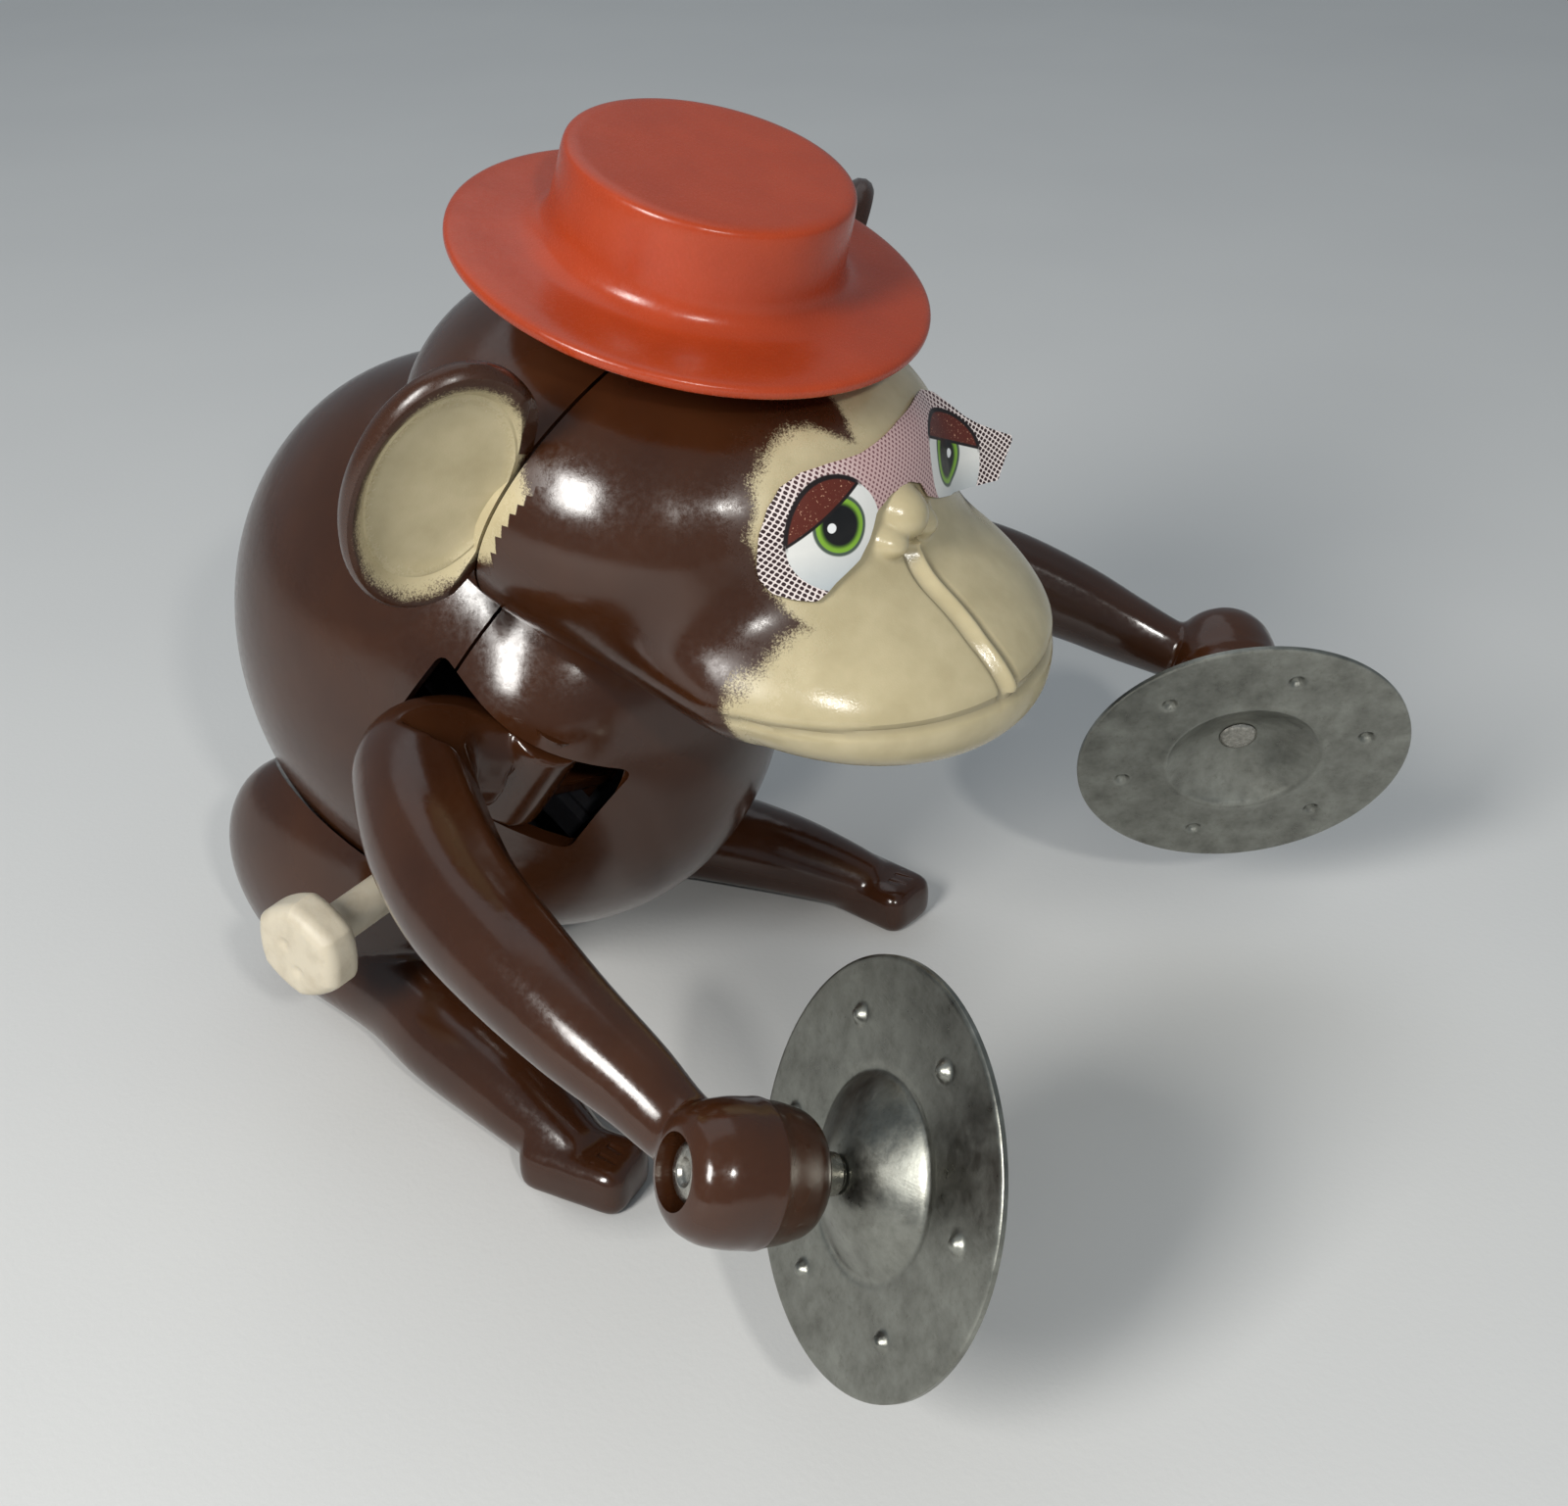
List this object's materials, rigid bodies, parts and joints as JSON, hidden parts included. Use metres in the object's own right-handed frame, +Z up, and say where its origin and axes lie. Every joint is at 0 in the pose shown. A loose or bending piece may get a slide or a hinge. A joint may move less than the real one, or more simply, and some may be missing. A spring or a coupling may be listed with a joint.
{
  "type": "wind-up cymbal-clapping monkey",
  "caption": "Small wind-up plastic monkey in a flat hat that claps two steel cymbals, driven by a side key, spring motor, crank and slide.",
  "frame": {"origin": "on the ground under the middle of the toy's box", "axes": "+Z up, the monkey faces -Y, its right hand and the winding key are on the -X side"},
  "size_m": [0.0918, 0.0976, 0.0829],
  "materials": {
    "brown_styrene": "glossy moulded dark brown, tan mist on muzzle and ears",
    "orange_polypropylene": "satin moulded orange-red",
    "printed_vinyl": "printed eye label",
    "zinc_plated_steel": "dull pressed plated sheet",
    "bright_steel": "bright drawn steel",
    "blued_spring_steel": "blued strip",
    "natural_nylon": "off-white, satin",
    "acetal_gears": "white, satin",
    "black_motor_plastic": "black, satin"
  },
  "bodies": {
    "toy_body": {"front_shell": "brown_styrene", "back_shell": "brown_styrene", "hat": "orange_polypropylene", "eye_label": "printed_vinyl", "right_leg": "brown_styrene", "left_leg": "brown_styrene", "mainspring": "blued_spring_steel", "motor_case": "black_motor_plastic", "motor_cover": "black_motor_plastic", "second_arbor": "bright_steel", "escape_arbor": "bright_steel", "pallet_arbor": "bright_steel", "slide_tray": "black_motor_plastic", "upper_shell_screw": "bright_steel", "left_shell_screw": "bright_steel", "right_shell_screw": "bright_steel", "right_pivot_pin": "bright_steel", "left_pivot_pin": "bright_steel"},
    "winding": {"winding_shaft": "bright_steel", "winding_knob": "natural_nylon", "drive_wheel": "acetal_gears"},
    "second_gear": {"second_wheel": "acetal_gears"},
    "crank": {"crank_wheel": "acetal_gears", "crank_arbor": "bright_steel", "crank_disc": "black_motor_plastic"},
    "escape": {"escape_wheel": "acetal_gears"},
    "pallet": {"pallet_lever": "black_motor_plastic"},
    "slide": {"clapper_slide": "black_motor_plastic"},
    "arm_right": {"right_arm": "brown_styrene", "right_cymbal_rivet": "bright_steel"},
    "arm_left": {"left_arm": "brown_styrene", "left_cymbal_rivet": "bright_steel"},
    "cymbal_right": {"right_cymbal": "zinc_plated_steel"},
    "cymbal_left": {"left_cymbal": "zinc_plated_steel"}
  },
  "joints": [
    {"name": "winding_turn", "type": "hinge", "parent": "toy_body", "child": "winding", "pos_m": [-0.0247, 0.0224, 0.0174], "axis": [1, 0, 0], "continuous": true},
    {"name": "second_turn", "type": "hinge", "parent": "toy_body", "child": "second_gear", "pos_m": [-0.0002, 0.02735, 0.02235], "axis": [1, 0, 0], "continuous": true},
    {"name": "crank_turn", "type": "hinge", "parent": "toy_body", "child": "crank", "pos_m": [0.002, 0.02126, 0.02398], "axis": [1, 0, 0], "continuous": true},
    {"name": "escape_turn", "type": "hinge", "parent": "toy_body", "child": "escape", "pos_m": [0.0025, 0.016, 0.02207], "axis": [1, 0, 0], "continuous": true},
    {"name": "pallet_rock", "type": "hinge", "parent": "toy_body", "child": "pallet", "pos_m": [0.0025, 0.01545, 0.0181], "axis": [1, 0, 0], "range_deg": [-4, 4]},
    {"name": "right_arm_swing", "type": "hinge", "parent": "toy_body", "child": "arm_right", "pos_m": [-0.0155, 0.00744, 0.03371], "axis": [0, -0.5621, 0.8271], "range_deg": [0, 41.18]},
    {"name": "left_arm_swing", "type": "hinge", "parent": "toy_body", "child": "arm_left", "pos_m": [0.0155, 0.00744, 0.03371], "axis": [0, -0.5621, 0.8271], "range_deg": [-41.18, 0]},
    {"name": "clap_slide", "type": "slide", "parent": "toy_body", "child": "slide", "axis": [0, 0.8271, 0.5621], "range_m": [0, 0.00633]},
    {"name": "right_cymbal_spin", "type": "hinge", "parent": "arm_right", "child": "cymbal_right", "pos_m": [-0.03253, -0.03613, 0.02381], "axis": [0.7749, -0.5227, -0.3553], "continuous": true},
    {"name": "left_cymbal_spin", "type": "hinge", "parent": "arm_left", "child": "cymbal_left", "pos_m": [0.03253, -0.03613, 0.02381], "axis": [-0.7749, -0.5227, -0.3553], "continuous": true}
  ],
  "couplings": [
    {"joint": "second_turn", "follows": "winding_turn", "ratio": -4},
    {"joint": "crank_turn", "follows": "winding_turn", "ratio": 14},
    {"joint": "escape_turn", "follows": "winding_turn", "ratio": -42},
    {"joint": "left_arm_swing", "follows": "right_arm_swing", "ratio": -1},
    {"joint": "clap_slide", "follows": "right_arm_swing", "m_per_rad": 0.0088059}
  ]
}
